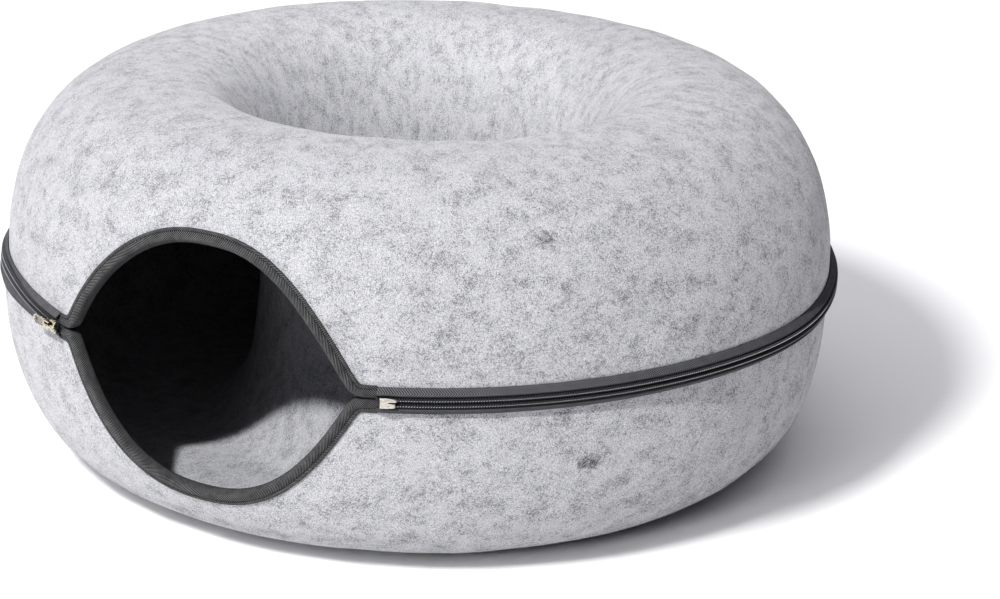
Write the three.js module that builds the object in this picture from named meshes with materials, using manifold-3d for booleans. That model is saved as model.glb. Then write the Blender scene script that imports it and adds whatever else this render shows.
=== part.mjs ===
// Donut pet bed: a hollow ring of moulded felt in two halves, joined by a zip around the outside.
// Millimetres, +Z up. The ring's axis is the Z axis and the base lies on z = 0.
// Angles run around the axis from the -Y side, positive towards +X.
import * as THREE from 'three';
import { mergeVertices } from 'three/addons/utils/BufferGeometryUtils.js';
import Module from 'manifold-3d';

const HEIGHT = 264;
const SEAM_Z = HEIGHT / 2; // height of the felt edges outside and of the butt seam in the hole
const FELT = 5; // felt thickness
const GAP = 0.3; // room between neighbouring pieces
const ZIP_SEAM = 2; // room between the two felt edges behind the zip

const ENTRANCE_ANGLE = -29.4; // middle of the entrance
const ENTRANCE_HALF_ANGLE = 21.3;
const ENTRANCE_HALF_HEIGHT = 84.2; // measured along the felt, from the seam to the finished edge
const ENTRANCE_FULLNESS = 2.4; // 2 is a parabola, more is squarer
const ENTRANCE_FLARE = 4; // softens the corners so that they run out into the zip
const BINDING_HALF_ANGLE = 24.4;
const BINDING_WIDTH = 8.8;
const BINDING = 1.2; // thickness of the folded tape
const BINDING_GAP = 0.45; // room between the folded tape and the felt inside it
const EDGE_STEPS = 44; // divisions along the entrance's edge

const ZIP_START = -4.85; // angle at the stop
const ZIP_END = 306.05; // angle at the slider, on around the back of the ring
const ZIP_DROP = 0.2; // how far the zip hangs below the felt seam
const ZIP_SAG = { angle: 66, reach: 20, depth: 4.6 }; // where the zip sags further
const TAPE_EDGE = 8.6; // distance of the sewn tape edge from the zip's middle, along the felt
const TAPE = 1.2;
const COIL_RADIUS = 1.7;
const COIL_CENTRE = 300.4; // radius from the ring's axis to the middle of a coil
const SLIDER_ANGLE = 306.4;
const STOP_ANGLE = -3.7;

// Each quarter of the ring's section runs from the seam to the highest or lowest line of the felt.
const QUARTERS = {
  upperOuter: { seamRadius: 296, endRadius: 192, endZ: HEIGHT, fullness: 2.25 },
  upperInner: { seamRadius: 112.5, endRadius: 192, endZ: HEIGHT, fullness: 2.65 },
  lowerOuter: { seamRadius: 296, endRadius: 210, endZ: 0, fullness: 2.95 },
  lowerInner: { seamRadius: 112.5, endRadius: 174, endZ: 0, fullness: 2.65 },
};
const WALL_RADIUS = QUARTERS.upperOuter.seamRadius;
const QUARTER_STEPS = 8;

const wasm = await Module();
wasm.setup();

const radians = THREE.MathUtils.degToRad;
const degrees = THREE.MathUtils.radToDeg;

function around(angle, radius, z) {
  const a = radians(angle);
  return new THREE.Vector3(radius * Math.sin(a), -radius * Math.cos(a), z);
}

// A point of a quarter's outer face, t from 0 at the seam to 1, with the outward normal there.
function quarterPoint(quarter, t) {
  const a = (t * Math.PI) / 2;
  const power = 2 / quarter.fullness;
  const width = quarter.seamRadius - quarter.endRadius;
  const rise = quarter.endZ - SEAM_Z;
  const across = Math.max(Math.cos(a), 0) ** power;
  const along = Math.sin(a) ** power;
  const normal = new THREE.Vector2(
    across ** (quarter.fullness - 1) / width,
    along ** (quarter.fullness - 1) / rise,
  ).normalize();
  const point = new THREE.Vector2(quarter.endRadius + width * across, SEAM_Z + rise * along);
  return { point, normal };
}

// The outer face from the zip seam outwards, as a table of distance along the felt.
function measuredQuarter(quarter) {
  const rows = [];
  let distance = 0;
  for (let i = 0; i <= QUARTER_STEPS; i += 1) {
    const { point, normal } = quarterPoint(quarter, i / QUARTER_STEPS);
    if (i > 0) distance += point.distanceTo(rows[i - 1].point);
    rows.push({ distance, point, normal });
  }
  return rows;
}

const OUTER_FACE = {
  upper: measuredQuarter(QUARTERS.upperOuter),
  lower: measuredQuarter(QUARTERS.lowerOuter),
};

// The outer wall at a signed distance from the seam (up is positive), moved out along its normal.
function wallPoint(angle, distance, out) {
  const rows = distance < 0 ? OUTER_FACE.lower : OUTER_FACE.upper;
  const wanted = Math.abs(distance);
  const next = Math.max(rows.findIndex((row) => row.distance >= wanted), 1);
  const low = rows[next - 1];
  const high = rows[next];
  const share = (wanted - low.distance) / (high.distance - low.distance);
  const point = low.point.clone().lerp(high.point, share);
  const normal = low.normal.clone().lerp(high.normal, share);
  return around(angle, point.x + normal.x * out, point.y + normal.y * out);
}

// A solid through a list of rings with the same number of points: capped, or joined end to end.
function loft(rings, { joined = false, capShape = null } = {}) {
  const count = rings[0].length;
  const positions = rings.flat().flatMap((p) => [p.x, p.y, p.z]);
  const index = [];
  const last = joined ? rings.length : rings.length - 1;
  for (let i = 0; i < last; i += 1) {
    const here = i * count;
    const there = ((i + 1) % rings.length) * count;
    for (let j = 0; j < count; j += 1) {
      const k = (j + 1) % count;
      index.push(here + j, here + k, there + k, here + j, there + k, there + j);
    }
  }
  if (!joined) {
    const end = (rings.length - 1) * count;
    const turned = THREE.ShapeUtils.isClockWise(capShape);
    for (const [a, b, c] of THREE.ShapeUtils.triangulateShape(capShape, [])) {
      const [first, second] = turned ? [c, b] : [b, c];
      index.push(a, second, first, end + a, end + first, end + second);
    }
  }
  const geometry = new THREE.BufferGeometry();
  geometry.setAttribute('position', new THREE.Float32BufferAttribute(positions, 3));
  geometry.setIndex(index);
  return facingOut(geometry);
}

function signedVolume(geometry) {
  const p = geometry.attributes.position;
  const at = (i) => new THREE.Vector3().fromBufferAttribute(p, i);
  const { array } = geometry.index;
  let volume = 0;
  for (let i = 0; i < array.length; i += 3) {
    volume += at(array[i]).dot(at(array[i + 1]).cross(at(array[i + 2])));
  }
  return volume;
}

function facingOut(geometry) {
  if (signedVolume(geometry) > 0) return geometry;
  const { array } = geometry.index;
  for (let i = 0; i < array.length; i += 3) {
    [array[i + 1], array[i + 2]] = [array[i + 2], array[i + 1]];
  }
  return geometry;
}

function toSolid(geometry) {
  const bare = geometry.clone();
  bare.deleteAttribute('normal');
  bare.deleteAttribute('uv');
  const merged = mergeVertices(bare, 1e-4);
  return new wasm.Manifold(new wasm.Mesh({
    numProp: 3,
    vertProperties: new Float32Array(merged.attributes.position.array),
    triVerts: new Uint32Array(merged.index.array),
  }));
}

function fromSolid(solid) {
  const mesh = solid.getMesh();
  const geometry = new THREE.BufferGeometry();
  geometry.setAttribute('position', new THREE.BufferAttribute(mesh.vertProperties, 3));
  geometry.setIndex(new THREE.BufferAttribute(mesh.triVerts, 1));
  return geometry;
}

// Angles at which the ring is divided: close together across the entrance, wider elsewhere.
function ringAngles() {
  const half = 25;
  const angles = [];
  for (let i = 0; i < 18; i += 1) angles.push(ENTRANCE_ANGLE - half + (2 * half * i) / 18);
  const rest = 360 - 2 * half;
  for (let i = 0; i < 44; i += 1) angles.push(ENTRANCE_ANGLE + half + (rest * i) / 44);
  return angles;
}

// Height of the finished entrance edge above (or below) the zip at an angle, along the felt.
function entranceEdge(angle) {
  const x = Math.abs(angle - ENTRANCE_ANGLE) / ENTRANCE_HALF_ANGLE;
  const lens = ENTRANCE_HALF_HEIGHT * (1 - x ** ENTRANCE_FULLNESS);
  return GAP + ENTRANCE_FLARE * Math.log(1 + Math.exp(lens / ENTRANCE_FLARE));
}

// Angles that divide the entrance's edge into equal lengths.
function entranceAngles() {
  const fine = [];
  let length = 0;
  for (let i = 0; i <= 600; i += 1) {
    const angle = ENTRANCE_ANGLE + BINDING_HALF_ANGLE * (i / 300 - 1);
    const point = new THREE.Vector2(WALL_RADIUS * radians(angle), entranceEdge(angle));
    if (i > 0) length += point.distanceTo(fine[i - 1].point);
    fine.push({ angle, point, length });
  }
  const angles = [];
  for (let i = 0; i <= EDGE_STEPS; i += 1) {
    const wanted = (length * i) / EDGE_STEPS;
    const nearest = fine.find((row) => row.length >= wanted - 1e-6) ?? fine[600];
    angles.push(nearest.angle);
  }
  return angles;
}

// The hole in the felt: the finished edge plus the tape folded over it.
function entranceCutter() {
  const room = BINDING + BINDING_GAP;
  const angles = entranceAngles();
  const upper = angles.map((angle) => [angle, entranceEdge(angle) + room]);
  const lower = angles.map((angle) => [angle, -entranceEdge(angle) - room]).reverse();
  const outline = [...upper, ...lower];
  const inside = outline.map(([angle, distance]) => wallPoint(angle, distance, -40));
  const outside = outline.map(([angle, distance]) => wallPoint(angle, distance, 40));
  const capShape = outline.map(([angle, distance]) => new THREE.Vector2(angle * 5, distance));
  return loft([inside, outside], { capShape });
}

// Section of one felt half: outer face from the zip to the hole seam, then back along the inside.
function feltSection(outerQuarter, innerQuarter) {
  const side = Math.sign(outerQuarter.endZ - SEAM_Z);
  const face = [];
  for (let i = 0; i <= QUARTER_STEPS; i += 1) face.push(quarterPoint(outerQuarter, i / QUARTER_STEPS));
  for (let i = QUARTER_STEPS; i >= 0; i -= 1) face.push(quarterPoint(innerQuarter, i / QUARTER_STEPS));
  if (outerQuarter.endRadius === innerQuarter.endRadius) face.splice(QUARTER_STEPS, 1);
  const outer = face.map(({ point }) => point.clone());
  const inner = face.map(({ point, normal }) => point.clone().addScaledVector(normal, -FELT));
  for (const line of [outer, inner]) {
    line[0].y = SEAM_Z + (side * ZIP_SEAM) / 2;
    line[line.length - 1].y = SEAM_Z + (side * GAP) / 2;
  }
  return [...outer, ...inner.reverse()];
}

function feltHalf(outerQuarter, innerQuarter) {
  const section = feltSection(outerQuarter, innerQuarter);
  const rings = ringAngles().map((angle) => section.map((p) => around(angle, p.x, p.y)));
  const ring = toSolid(loft(rings, { joined: true }));
  return fromSolid(ring.subtract(toSolid(entranceCutter())));
}

// A tape folded over the felt's edge: a leg on each face and a web across the edge.
function binding(side) {
  const outFace = BINDING_GAP;
  const inFace = -FELT - BINDING_GAP;
  const web = BINDING + BINDING_GAP;
  const leg = BINDING_WIDTH - web;
  const section = [
    [leg, outFace], [-BINDING_GAP, outFace], [-BINDING_GAP, inFace], [leg, inFace],
    [leg, inFace - BINDING], [-web / 2, inFace - BINDING], [-web, inFace],
    [-web, outFace], [-web / 2, outFace + BINDING], [leg, outFace + BINDING],
  ];
  const rings = entranceAngles().map((angle) => {
    const step = 0.05;
    const rise = entranceEdge(angle + step) - entranceEdge(angle - step);
    const slope = Math.atan2(rise, WALL_RADIUS * radians(2 * step));
    const edge = entranceEdge(angle) + web;
    return section.map(([inward, out]) => {
      const turned = angle - degrees((inward * Math.sin(slope)) / WALL_RADIUS);
      const distance = edge + inward * Math.cos(slope);
      return wallPoint(turned, side * distance, out);
    });
  });
  const capShape = section.map(([inward, out]) => new THREE.Vector2(inward, out));
  return loft(rings, { capShape });
}

function zipAngles() {
  const first = ZIP_START;
  const last = ZIP_END;
  const between = ringAngles().map((angle) => (angle < first ? angle + 360 : angle));
  const inside = between.filter((angle) => angle > first + 1 && angle < last - 1);
  return [first, ...inside.sort((a, b) => a - b), last];
}

// How far below the felt seam the middle of the zip hangs at an angle.
function zipDrop(angle) {
  const off = (angle - ZIP_SAG.angle) / ZIP_SAG.reach;
  return ZIP_DROP + ZIP_SAG.depth * Math.exp(-off * off);
}

// A tape lies on the felt at its sewn edge and stands out towards the coil.
function zipTape(side) {
  const felt = WALL_RADIUS + GAP;
  const proud = COIL_CENTRE + COIL_RADIUS * 0.5;
  const rings = zipAngles().map((angle) => {
    const sewn = side * TAPE_EDGE - zipDrop(angle);
    const coilEdge = SEAM_Z - zipDrop(angle) + side * (2 * COIL_RADIUS + 1.5 * GAP);
    return [
      wallPoint(angle, sewn, GAP),
      wallPoint(angle, sewn, GAP + TAPE),
      around(angle, proud, coilEdge),
      around(angle, felt, coilEdge),
    ];
  });
  const capShape = [[0, 0], [1, 0], [2, -2], [0, -2]].map(([x, y]) => new THREE.Vector2(x, y * side));
  return loft(rings, { capShape });
}

function zipCoil(side) {
  const section = [];
  for (let i = 0; i < 6; i += 1) {
    const a = (i * Math.PI) / 3;
    section.push(new THREE.Vector2(COIL_RADIUS * Math.cos(a), COIL_RADIUS * Math.sin(a)));
  }
  const rings = zipAngles().map((angle) => {
    const z = SEAM_Z - zipDrop(angle) + side * (COIL_RADIUS + GAP / 2);
    return section.map((p) => around(angle, COIL_CENTRE + p.x, z + p.y));
  });
  return loft(rings, { capShape: section });
}

// Places a piece drawn with x along the zip, y up and z outwards.
function onZip(geometry, angle, radius, tilt = 0) {
  const a = radians(angle);
  const along = new THREE.Vector3(Math.cos(a), Math.sin(a), 0);
  const up = new THREE.Vector3(0, 0, 1);
  const out = new THREE.Vector3(Math.sin(a), -Math.cos(a), 0);
  const place = new THREE.Matrix4().makeBasis(along, up, out);
  place.setPosition(around(angle, radius, SEAM_Z - zipDrop(angle)));
  return geometry.applyMatrix4(new THREE.Matrix4().makeRotationY(tilt)).applyMatrix4(place);
}

function extruded(shape, depth) {
  return new THREE.ExtrudeGeometry(shape, { depth, bevelEnabled: false, curveSegments: 6 });
}

function roundedTab(length, endWidth, width) {
  const shape = new THREE.Shape();
  shape.moveTo(0, -endWidth / 2);
  shape.lineTo(length - width / 2, -width / 2);
  shape.absarc(length - width / 2, 0, width / 2, -Math.PI / 2, Math.PI / 2, false);
  shape.lineTo(0, endWidth / 2);
  shape.closePath();
  return shape;
}

const COIL_OUTSIDE = COIL_CENTRE + COIL_RADIUS + GAP;

// Slider: a plate over the coil, tapered to its nose, with a low bridge that holds the pull.
function zipSlider() {
  const plate = new THREE.Shape();
  plate.moveTo(-6.5, -3.2);
  plate.lineTo(3, -4.6);
  plate.quadraticCurveTo(6.5, -4.4, 6.5, 0);
  plate.quadraticCurveTo(6.5, 4.4, 3, 4.6);
  plate.lineTo(-6.5, 3.2);
  plate.closePath();
  const body = toSolid(extruded(plate, 2.2));
  const arch = new THREE.Shape();
  arch.moveTo(-4.5, 0);
  arch.lineTo(-3.2, 3.2);
  arch.lineTo(3.2, 3.2);
  arch.lineTo(4.5, 0);
  arch.lineTo(3.2, 0);
  arch.lineTo(2.4, 2.1);
  arch.lineTo(-2.4, 2.1);
  arch.lineTo(-3.2, 0);
  arch.closePath();
  const bridge = extruded(arch, 2).rotateX(Math.PI / 2).translate(0, 1, 2);
  return onZip(fromSolid(body.add(toSolid(bridge))), SLIDER_ANGLE, COIL_OUTSIDE);
}

// Pull: a plain tab threaded on the bridge, lying back along the closed zip.
function zipPull() {
  const tab = roundedTab(24.5, 5, 7);
  const eye = new THREE.Path();
  eye.moveTo(2.8, -1.5);
  eye.lineTo(2.8, 1.5);
  eye.lineTo(5.8, 1.5);
  eye.lineTo(5.8, -1.5);
  eye.closePath();
  tab.holes.push(eye);
  const flat = extruded(tab, 1.1).rotateY(Math.PI).translate(0.8, 0, 1.1);
  return onZip(flat, SLIDER_ANGLE, COIL_OUTSIDE + 2.2 + GAP);
}

// Stop: a clip across both coils with two prongs along them.
function zipStop() {
  const clip = new THREE.Shape();
  clip.moveTo(-4.5, -3);
  clip.lineTo(4.5, -3);
  clip.lineTo(4.5, -1.4);
  clip.lineTo(0.4, -1.4);
  clip.lineTo(0.4, 1.4);
  clip.lineTo(4.5, 1.4);
  clip.lineTo(4.5, 3);
  clip.lineTo(-4.5, 3);
  clip.closePath();
  return onZip(extruded(clip, 1.6), STOP_ANGLE, COIL_OUTSIDE);
}

const FINISHES = {
  felt: { color: 0xc9cdd2, roughness: 0.95, metalness: 0 },
  binding: { color: 0x3a3b40, roughness: 0.9, metalness: 0 },
  zip_tape: { color: 0x4b4d53, roughness: 0.9, metalness: 0 },
  zip_coil: { color: 0x34363b, roughness: 0.6, metalness: 0 },
  metal: { color: 0xb9b4a6, roughness: 0.35, metalness: 1 },
};

const materials = {};
for (const [name, finish] of Object.entries(FINISHES)) {
  materials[name] = new THREE.MeshStandardMaterial(finish);
  materials[name].name = name;
}

const PIECES = [
  { name: 'felt_upper', shape: feltHalf(QUARTERS.upperOuter, QUARTERS.upperInner), finish: 'felt' },
  { name: 'felt_lower', shape: feltHalf(QUARTERS.lowerOuter, QUARTERS.lowerInner), finish: 'felt' },
  { name: 'binding_upper', shape: binding(1), finish: 'binding' },
  { name: 'binding_lower', shape: binding(-1), finish: 'binding' },
  { name: 'zip_tape_upper', shape: zipTape(1), finish: 'zip_tape' },
  { name: 'zip_tape_lower', shape: zipTape(-1), finish: 'zip_tape' },
  { name: 'zip_coil_upper', shape: zipCoil(1), finish: 'zip_coil' },
  { name: 'zip_coil_lower', shape: zipCoil(-1), finish: 'zip_coil' },
  { name: 'zip_slider', shape: zipSlider(), finish: 'metal' },
  { name: 'zip_pull', shape: zipPull(), finish: 'metal' },
  { name: 'zip_stop', shape: zipStop(), finish: 'metal' },
];

const bed = new THREE.Group();
bed.name = 'donut_pet_bed';
for (const piece of PIECES) {
  const mesh = new THREE.Mesh(piece.shape, materials[piece.finish]);
  mesh.name = piece.name;
  bed.add(mesh);
}

export default bed;
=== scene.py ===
# %% [markdown]
# # A donut pet bed in felt
#
# The bed is a hollow ring. Two halves of moulded felt are zipped together around the outside,
# and an eye-shaped entrance with a taped edge leads into the tunnel. We load the packed model
# first, because every piece is made in its frame: metres, Z up, the ring's axis on Z.

# %% Load the frame
import math

import bpy
import numpy as np
from mathutils import Matrix, Vector


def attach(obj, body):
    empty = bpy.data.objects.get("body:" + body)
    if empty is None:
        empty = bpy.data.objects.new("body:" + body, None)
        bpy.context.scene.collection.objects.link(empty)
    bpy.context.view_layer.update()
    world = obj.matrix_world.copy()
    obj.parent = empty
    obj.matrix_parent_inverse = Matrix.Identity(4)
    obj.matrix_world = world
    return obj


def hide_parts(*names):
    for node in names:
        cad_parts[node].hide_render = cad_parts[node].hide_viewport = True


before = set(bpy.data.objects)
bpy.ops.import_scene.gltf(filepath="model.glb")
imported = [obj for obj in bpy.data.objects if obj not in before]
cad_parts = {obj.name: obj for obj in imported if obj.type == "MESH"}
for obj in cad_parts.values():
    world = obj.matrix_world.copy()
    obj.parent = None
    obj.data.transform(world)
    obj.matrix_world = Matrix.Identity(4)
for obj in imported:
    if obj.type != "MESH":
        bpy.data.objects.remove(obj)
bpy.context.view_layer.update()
MM = 0.001

# %% [markdown]
# ## The ring's section
#
# Cut through the ring and each half shows four rounded quarters. A rounded quarter can be drawn
# with a superellipse: one number, its fullness, takes it from a plain ellipse (2) towards a
# square. We could draw the section as a Bezier curve by eye, but four numbers for each quarter
# are easier to measure from a picture and to change. All drawing is in millimetres, as in a
# workshop, and turns into metres only when a mesh is made.

# %% Sizes of the ring
HEIGHT = 264.0
SEAM_Z = HEIGHT / 2
WALL_RADIUS = 296.0
HOLE_RADIUS = 112.5

QUARTERS = {
    "upper_outer": dict(seam_radius=WALL_RADIUS, end_radius=192.0, end_z=HEIGHT, fullness=2.25),
    "upper_inner": dict(seam_radius=HOLE_RADIUS, end_radius=192.0, end_z=HEIGHT, fullness=2.65),
    "lower_outer": dict(seam_radius=WALL_RADIUS, end_radius=210.0, end_z=0.0, fullness=2.95),
    "lower_inner": dict(seam_radius=HOLE_RADIUS, end_radius=174.0, end_z=0.0, fullness=2.65),
}


def quarter_line(seam_radius, end_radius, end_z, fullness, count=500):
    """Points (radius, height) and outward normals, from the seam to the top or base line."""
    turn = np.linspace(0, math.pi / 2, count)
    across = np.clip(np.cos(turn), 0, 1) ** (2 / fullness)
    along = np.sin(turn) ** (2 / fullness)
    width, rise = seam_radius - end_radius, end_z - SEAM_Z
    points = np.stack([end_radius + width * across, SEAM_Z + rise * along], 1)
    normals = np.stack([across ** (fullness - 1) / width, along ** (fullness - 1) / rise], 1)
    return points, normals / np.linalg.norm(normals, axis=1, keepdims=True)


def half_line(half):
    """One half's outer face from the zip to the seam in the hole, with its running length."""
    outer, outer_normals = quarter_line(**QUARTERS[half + "_outer"])
    inner, inner_normals = quarter_line(**QUARTERS[half + "_inner"])
    points = np.concatenate([outer, inner[::-1]])
    normals = np.concatenate([outer_normals, inner_normals[::-1]])
    steps = np.linalg.norm(np.diff(points, axis=0), axis=1)
    return dict(run=np.concatenate([[0], np.cumsum(steps)]), points=points, normals=normals)


LINES = {half: half_line(half) for half in ("upper", "lower")}
for half, line in LINES.items():
    print(half, "half is", round(float(line["run"][-1])), "mm of felt from zip to hole")


# %% [markdown]
# ## Places on the felt
#
# Every other piece sits on the felt, so we want to say "20 mm up from the zip, at 30 degrees,
# 1 mm proud". A helper turns such an address into a point. Angles run around the axis from the
# front (-Y), positive to the right. We could wrap flat pieces with modifiers instead, but an
# address in workshop sizes is exact, and quick to check.

# %% A point on the felt
def around(angle, radius, z):
    """A point in metres from an angle in degrees and sizes in millimetres."""
    a = np.radians(angle)
    radius, z, a = np.broadcast_arrays(radius, z, a)
    return np.stack([radius * np.sin(a), -radius * np.cos(a), z], -1) * MM


def on_felt(half, angle, run, out):
    """A point at a distance along the felt from the zip, moved out along the felt's normal."""
    line = LINES[half]
    radius, z, out_r, out_z = (
        np.interp(run, line["run"], column)
        for column in (*line["points"].T, *line["normals"].T)
    )
    return around(angle, radius + out_r * out, z + out_z * out)


print("front of the zip line, in metres:", on_felt("upper", 0, 0, 0).round(4))

# %% [markdown]
# ## The entrance
#
# The entrance is an eye: two equal arches, one in each half, that meet at the zip in corners
# that run out softly. An arch is a rounded parabola, and a soft-plus function bends its feet
# into the zip line. The same curve places the cut in the felt and the tape that binds it.

# %% The entrance's edge
ENTRANCE_ANGLE = -29.4
ENTRANCE_HALF_ANGLE = 21.3
ENTRANCE_HALF_HEIGHT = 84.2
ENTRANCE_FULLNESS = 2.4
ENTRANCE_FLARE = 4.0
ENTRANCE_LEAST = 0.3


def entrance_edge(angle):
    """Distance of the finished edge from the zip line, along the felt, in millimetres."""
    share = np.abs(np.asarray(angle) - ENTRANCE_ANGLE) / ENTRANCE_HALF_ANGLE
    arch = ENTRANCE_HALF_HEIGHT * (1 - share**ENTRANCE_FULLNESS)
    return ENTRANCE_LEAST + ENTRANCE_FLARE * np.logaddexp(0, arch / ENTRANCE_FLARE)


print("entrance height in mm:", round(float(2 * entrance_edge(ENTRANCE_ANGLE)), 1))


# %% [markdown]
# ## Turning grids of points into meshes
#
# Felt, tape and cord are all long strips: a section repeated along a path. Laid out as a grid
# of points, any of them becomes a mesh with one helper. We could use curve objects with a
# bevel, but a grid also lets us store, on every point, where it lies along and across the
# strip. The materials use that "lay" to run their weave along the tape and not across the room.

# %% Grid to mesh
def facing_out(mesh):
    """Turns the faces over if the closed mesh is inside out."""
    count = len(mesh.vertices)
    places = np.empty(count * 3)
    mesh.vertices.foreach_get("co", places)
    places = places.reshape(-1, 3)
    mesh.calc_loop_triangles()
    corners = np.empty(len(mesh.loop_triangles) * 3, dtype=np.int32)
    mesh.loop_triangles.foreach_get("vertices", corners)
    a, b, c = places[corners.reshape(-1, 3)].transpose(1, 0, 2)
    if (a * np.cross(b, c)).sum() < 0:
        mesh.flip_normals()
    return mesh


def make_piece(name, points, faces, lays=None, sharp=40):
    """A piece of the bed from points in metres; it rides on the one rigid body."""
    mesh = bpy.data.meshes.new(name)
    mesh.from_pydata(points.tolist(), [], faces)
    for key, lay in (lays or {}).items():
        mesh.attributes.new(key, "FLOAT_VECTOR", "POINT")
        mesh.attributes[key].data.foreach_set("vector", lay.astype(np.float32).ravel())
    facing_out(mesh)
    mesh.polygons.foreach_set("use_smooth", [True] * len(mesh.polygons))
    mesh.set_sharp_from_angle(angle=math.radians(sharp))
    piece = bpy.data.objects.new(name, mesh)
    bpy.context.scene.collection.objects.link(piece)
    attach(piece, "root")
    return piece


def strip_faces(sections, count, joined=False):
    """Quads between neighbouring closed sections, with end caps unless the strip is joined."""
    faces = []
    for i in range(sections if joined else sections - 1):
        here, there = i * count, ((i + 1) % sections) * count
        for j in range(count):
            k = (j + 1) % count
            faces.append((here + j, here + k, there + k, there + j))
    if not joined:
        faces.append(tuple(range(count))[::-1])
        faces.append(tuple(range((sections - 1) * count, sections * count)))
    return faces


def make_strip(name, grid, lays=None, joined=False, sharp=40):
    sections, count = grid.shape[:2]
    return make_piece(name, grid.reshape(-1, 3), strip_faces(sections, count, joined), lays, sharp)


print("a strip of three six-sided sections has", len(strip_faces(3, 6)), "faces")

# %% [markdown]
# ## The camera
#
# The picture was taken with a long lens from about 1.9 m away, a little above the bed. We set
# the camera's place and turn from the angles that make the ring's rim, zip and entrance fall
# where the picture has them. A long lens keeps the ring from looking stretched.

# %% Camera at the picture's angle
CAMERA_PLACE = (0.0, -1.7795, 0.7497)
CAMERA_PITCH, CAMERA_YAW, CAMERA_ROLL = 0.35467, 0.03282, 0.02992
CAMERA_LENS = 92.77


def camera_axes(pitch, yaw, roll):
    """Right, up and back, after looking down by pitch, right by yaw and rolling."""
    ahead = Vector((
        math.sin(yaw) * math.cos(pitch), math.cos(yaw) * math.cos(pitch), -math.sin(pitch)
    ))
    right = Vector((math.cos(yaw), -math.sin(yaw), 0))
    up = right.cross(ahead)
    tilted = math.cos(roll) * right + math.sin(roll) * up
    return tilted, math.cos(roll) * up - math.sin(roll) * right, -ahead


camera_data = bpy.data.cameras.new("picture_camera")
camera_data.sensor_fit = "HORIZONTAL"
camera_data.sensor_width = 36
camera_data.lens = CAMERA_LENS
camera = bpy.data.objects.new("picture_camera", camera_data)
axes = Matrix(camera_axes(CAMERA_PITCH, CAMERA_YAW, CAMERA_ROLL)).transposed()
camera.matrix_world = Matrix.Translation(CAMERA_PLACE) @ axes.to_4x4()
bpy.context.scene.collection.objects.link(camera)
bpy.context.scene.camera = camera
print("camera stands", round(Vector(CAMERA_PLACE).length, 2), "m from the bed")

# %% [markdown]
# ## Tone and soft light all around
#
# White paper has to come out white, and the depth of the tunnel nearly black. The standard view
# keeps white as it is, and a tone curve deepens the darkest shade, as a camera does. A white
# world fills the shade like a ceiling full of soft boxes. It is brighter overhead than at the
# sides, and it leans to the back left, because that is where the picture's ring is palest. We
# could hang many large lamps instead, but one smooth gradient has no seams and renders faster.

# %% Tone curve and white world
TONE = ((0.05, 0.024), (0.12, 0.08), (0.32, 0.31))
WORLD_SIDE, WORLD_TOP = 0.15, 0.88
WORLD_LEAN = (-0.6, 0.4, 1.0)
WORLD_TINT = (0.99, 0.98, 1.03, 1)

scene = bpy.context.scene
scene.view_settings.view_transform = "Standard"
scene.view_settings.use_curve_mapping = True
tone = scene.view_settings.curve_mapping
for light_in, light_out in TONE:
    tone.curves[3].points.new(light_in, light_out)
tone.update()

world = bpy.data.worlds.new("studio")
scene.world = world
world.use_nodes = True
sky = world.node_tree
sky_way = sky.nodes.new("ShaderNodeTexCoord")
sky_up = sky.nodes.new("ShaderNodeVectorMath")
sky_up.operation = "DOT_PRODUCT"
sky_up.inputs[1].default_value = WORLD_LEAN
sky_light = sky.nodes.new("ShaderNodeMapRange")
sky_light.inputs["To Min"].default_value = WORLD_SIDE
sky_light.inputs["To Max"].default_value = WORLD_TOP
sky.links.new(sky_way.outputs["Generated"], sky_up.inputs[0])
sky.links.new(sky_up.outputs["Value"], sky_light.inputs["Value"])
sky.links.new(sky_light.outputs["Result"], sky.nodes["Background"].inputs["Strength"])
sky.nodes["Background"].inputs["Color"].default_value = WORLD_TINT
print("the world shines from", WORLD_SIDE, "at the sides to", WORLD_TOP, "overhead")

# %% [markdown]
# ## Lamps
#
# A patch of light falls through the entrance into the tunnel, and its shape places the key
# lamp: front left, 45 degrees up and 4 m away. The lamp is small, so the patch has a crisp
# edge. The shadow on the floor is softer and wider than such a lamp would throw, so the floor
# has a nearer and larger lamp of its own, and a low one that lightens the shade under the front.
# Light linking says which lamp lights the floor. A bare lamp fades with distance, but a
# photographer evens out the backdrop, so these three do not. A small fill lamp hangs over the
# hollow in the middle, out of the camera's sight, and opens up its shaded wall.

# %% Lamps on stands
# angle and height in degrees, distance and size in metres, power in watts
KEY_LAMP = dict(angle=-31.0, height=45.0, distance=4.0, size=0.2, power=10.9)
FLOOR_LAMP = dict(angle=-38.5, height=46.0, distance=2.3, size=0.42, power=10.0)
LOW_LAMP = dict(angle=-36.0, height=16.0, distance=2.5, size=0.6, power=2.4)
FILL_PLACE, FILL_AIM = Vector((0.08, 0.0, 0.34)), Vector((-0.15, 0.0, 0.24))
FILL_SIZE, FILL_POWER = 0.1, 0.2


def disc_lamp(name, place, aim, size, power):
    """A soft round lamp that shines from one place towards another."""
    data = bpy.data.lights.new(name, "AREA")
    data.shape = "DISK"
    data.size = size
    data.energy = power
    made = bpy.data.objects.new(name, data)
    made.location = place
    made.rotation_euler = (place - aim).to_track_quat("Z", "Y").to_euler()
    made.visible_camera = False
    scene.collection.objects.link(made)
    return made


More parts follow.
